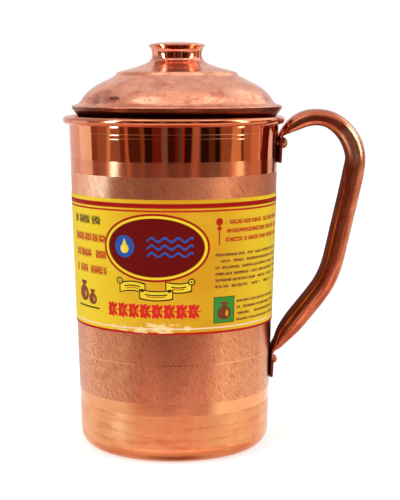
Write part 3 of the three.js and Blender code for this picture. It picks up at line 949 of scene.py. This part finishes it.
RIGHT_BARS = [
    (39, 47, (0.10, 0.05, 0.02)), (48, 53, (0.018, 0.008, 0.006)), (54.5, 66, (0.32, 0.18, 0.09)),
    (67, 77, (0.72, 0.55, 0.34)), (78.5, 80.5, (0.12, 0.04, 0.02)), (82, 93, (0.44, 0.26, 0.17)),
    (95, 109, (0.66, 0.42, 0.24)), (110, 112, (0.9, 0.75, 0.6)), (114, 122, (0.16, 0.03, 0.02)),
    (124, 141, (0.98, 0.95, 0.9)), (143, 149, (0.03, 0.012, 0.01)), (152, 180, EDGE),
]
TABLE_STOPS = [
    (-180, (1.0, 1.05, 1.0)), (-100, (1.0, 1.2, 1.15)), (-62, (0.95, 1.15, 1.1)), (-40, (0.5, 0.36, 0.3)),
    (-15, (0.13, 0.055, 0.045)), (10, (0.13, 0.055, 0.045)), (40, (0.5, 0.4, 0.33)),
    (60, (1.3, 1.7, 1.55)), (90, (1.2, 1.5, 1.35)), (180, (1.1, 1.2, 1.15)),
]
LEFT_LAMP = -68
RIGHT_LAMP = 78
LAMP_HALF = 4.0
# (direction, half angle in degrees, power)
OVERHEAD_SPOTS = [
    ((-0.36, -0.31, 0.88), 6.0, 1.6), ((0.44, -0.25, 0.86), 6.0, 1.6), ((0.02, -0.22, 0.975), 14.0, 0.3),
]


def at(degrees):
    """A direction as a place on a colour ramp that goes once round the room."""
    return degrees / 360.0 + 0.5


def bars(table):
    """Ramp stops for upright bars of even colour."""
    return [(at(a), c) for low, high, c in table for a in (low, high)]


def room_walls(n, turn, z):
    # a colour ramp holds 32 stops, so the bars on the left take two
    room = n.ramp(turn, bars(LEFT_BARS[4:]))
    far_left = n.ramp(turn, bars(LEFT_BARS[:5]))
    room = n.mix(n.math("GREATER_THAN", turn, at(-75)), far_left, room)
    right = n.ramp(turn, bars(RIGHT_BARS))
    room = n.mix(n.math("GREATER_THAN", turn, at(38.5)), room, right)
    # dim wall high on the left, bright panel high on the right
    window = n.math("MULTIPLY", n.between(turn, at(-140), at(-80), 0.02), n.span(z, 0.05, 0.3))
    room = n.mix(window, room, (0.55, 0.6, 0.66))
    panel = n.math("MULTIPLY", n.between(turn, at(70), at(150), 0.02), n.span(z, 0.3, 0.42))
    room = n.mix(panel, room, (1.6, 1.9, 1.9))
    return room


def room_levels(n, turn, z, room):
    """The table in the low reflections, brighter at both sides, the ground under it and the ceiling."""
    near_table = n.ramp(turn, [(at(a), c) for a, c in TABLE_STOPS])
    low = n.span(z, -0.25, -0.185, 1.0, 0.0, smooth=True)
    sky = n.mix(low, room, near_table)
    lowest = n.span(z, -0.37, -0.31, 1.0, 0.0, smooth=True)
    ahead = n.span(n.math("ABSOLUTE", n.math("SUBTRACT", turn, 0.5)), 0.08, 0.2, smooth=True)
    sky = n.mix(lowest, sky, n.mix(ahead, (2.1, 1.85, 1.8), (0.95, 0.9, 0.9)))
    under = n.span(z, -0.62, -0.46, 1.0, 0.0, smooth=True)
    sky = n.mix(under, sky, (0.8, 0.62, 0.52))
    sky = n.mix(n.span(z, -0.985, -0.91, 1.0, 0.0, smooth=True), sky, (0.16, 0.08, 0.05))
    above = n.span(z, 0.62, 0.86, smooth=True)
    sky = n.mix(above, sky, (0.85, 0.95, 1.0))
    return sky


def tall_lamps(n, turn, z):
    """Upright lamps left and right of the camera."""
    reach = n.math("MULTIPLY", n.span(z, -0.08, 0.10), n.span(z, 0.5, 0.7, 1.0, 0.1))
    reach = n.math("MULTIPLY", reach, n.math("LESS_THAN", z, 0.94))
    cream = n.mix(n.span(z, 0.1, 0.35), (1.0, 2.4, 3.4), (0.8, 1.45, 1.6))
    lamps = (0.0, 0.0, 0.0)
    for centre, power, tint in ((LEFT_LAMP, 16.0, cream), (RIGHT_LAMP, 12.0, (0.85, 1.2, 1.15))):
        strip = n.between(turn, at(centre - LAMP_HALF), at(centre + LAMP_HALF), 0.006)
        strip = n.math("MULTIPLY", n.math("MULTIPLY", strip, reach), power)
        lit = n.mix(1.0, n.combine(strip, strip, strip), tint, "MULTIPLY")
        lamps = n.mix(1.0, lamps, lit, "ADD")
    return lamps


def overhead_spots(n, direction, lamps):
    for centre, half, power in OVERHEAD_SPOTS:
        aim = Vector(centre).normalized()
        facing = n.add("ShaderNodeVectorMath", {0: direction, 1: aim}, operation="DOT_PRODUCT")
        near, far = math.cos(math.radians(half)), math.cos(math.radians(half * 1.7))
        spot = n.span(facing.outputs["Value"], far, near, 0.0, power, smooth=True)
        lamps = n.mix(1.0, lamps, n.combine(spot, spot, spot), "ADD")
    return lamps


def world():
    w = bpy.data.worlds.new("studio")
    bpy.context.scene.world = w
    w.use_nodes = True
    n = Nodes(w.node_tree)
    direction = n.add("ShaderNodeTexCoord").outputs["Generated"]
    x, y, z = n.split(direction)
    turn = n.math("DIVIDE", n.math("ARCTAN2", x, n.math("MULTIPLY", y, -1.0)), TAU)
    turn = n.math("ADD", turn, 0.5)
    sky = room_levels(n, turn, z, room_walls(n, turn, z))
    lamps = overhead_spots(n, direction, tall_lamps(n, turn, z))
    glow = n.mix(1.0, sky, lamps, "ADD")
    reflected = n.add("ShaderNodeBackground", {"Color": glow, "Strength": 1.0}).outputs[0]
    plain = n.add("ShaderNodeBackground", {"Color": (1, 1, 1, 1), "Strength": 0.75}).outputs[0]
    seen = n.add("ShaderNodeBackground", {"Color": (1, 1, 1, 1), "Strength": 1.0}).outputs[0]
    path = n.add("ShaderNodeLightPath")
    lit = n.add("ShaderNodeMixShader", {0: path.outputs["Is Glossy Ray"], 1: plain, 2: reflected}).outputs[0]
    shown = n.add("ShaderNodeMixShader", {0: path.outputs["Is Camera Ray"], 1: lit, 2: seen}).outputs[0]
    n.add("ShaderNodeOutputWorld", {"Surface": shown})


def soft_light(name, place, target, size, power):
    data = bpy.data.lights.new(name, "AREA")
    data.shape = "DISK"
    data.size = size
    data.energy = power
    obj = bpy.data.objects.new(name, data)
    obj.location = place
    obj.rotation_euler = (Vector(target) - Vector(place)).to_track_quat("-Z", "Y").to_euler()
    obj.visible_glossy = False
    bpy.context.scene.collection.objects.link(obj)


SENSOR_HEIGHT_MM = 24.0
LENS_MM = 62.2272
CAMERA_PLACE = (0.0135, -0.6748, 0.19125)
CAMERA_DIP_DEGREES = 7.563


def camera():
    data = bpy.data.cameras.new("camera")
    data.sensor_fit = "VERTICAL"
    data.sensor_height = SENSOR_HEIGHT_MM
    data.lens = LENS_MM
    data.clip_start = 0.02
    obj = bpy.data.objects.new("camera", data)
    obj.location = CAMERA_PLACE
    obj.rotation_euler = (math.radians(90 - CAMERA_DIP_DEGREES), 0.0, 0.0)
    bpy.context.scene.collection.objects.link(obj)
    bpy.context.scene.camera = obj


make_body(body_finishes(), lining_material())
make_label(label_material())
make_lid(lid_material(), plug_material())
grip = handle_material()
make_handle(grip, shaded_face_material())
make_rivet("upper_rivet_front_head", "upper_rivet_front", -UPPER_RIVET_Y, UPPER_RIVET_Z, 2.9, 2.7, grip)
make_rivet("upper_rivet_rear_head", "upper_rivet_rear", UPPER_RIVET_Y, UPPER_RIVET_Z, 2.9, 2.7, grip)
make_rivet("lower_rivet_head", "lower_rivet", 0.0, LOWER_RIVET_Z, 2.3, 1.9, grip)
floor()
world()
soft_light("key_left", (-0.9, -0.9, 1.1), (0, 0, 0.1), 0.8, 7.0)
soft_light("key_right", (1.0, -0.8, 1.0), (0, 0, 0.1), 0.8, 6.0)
camera()

scene = bpy.context.scene
scene.view_settings.view_transform = "Standard"
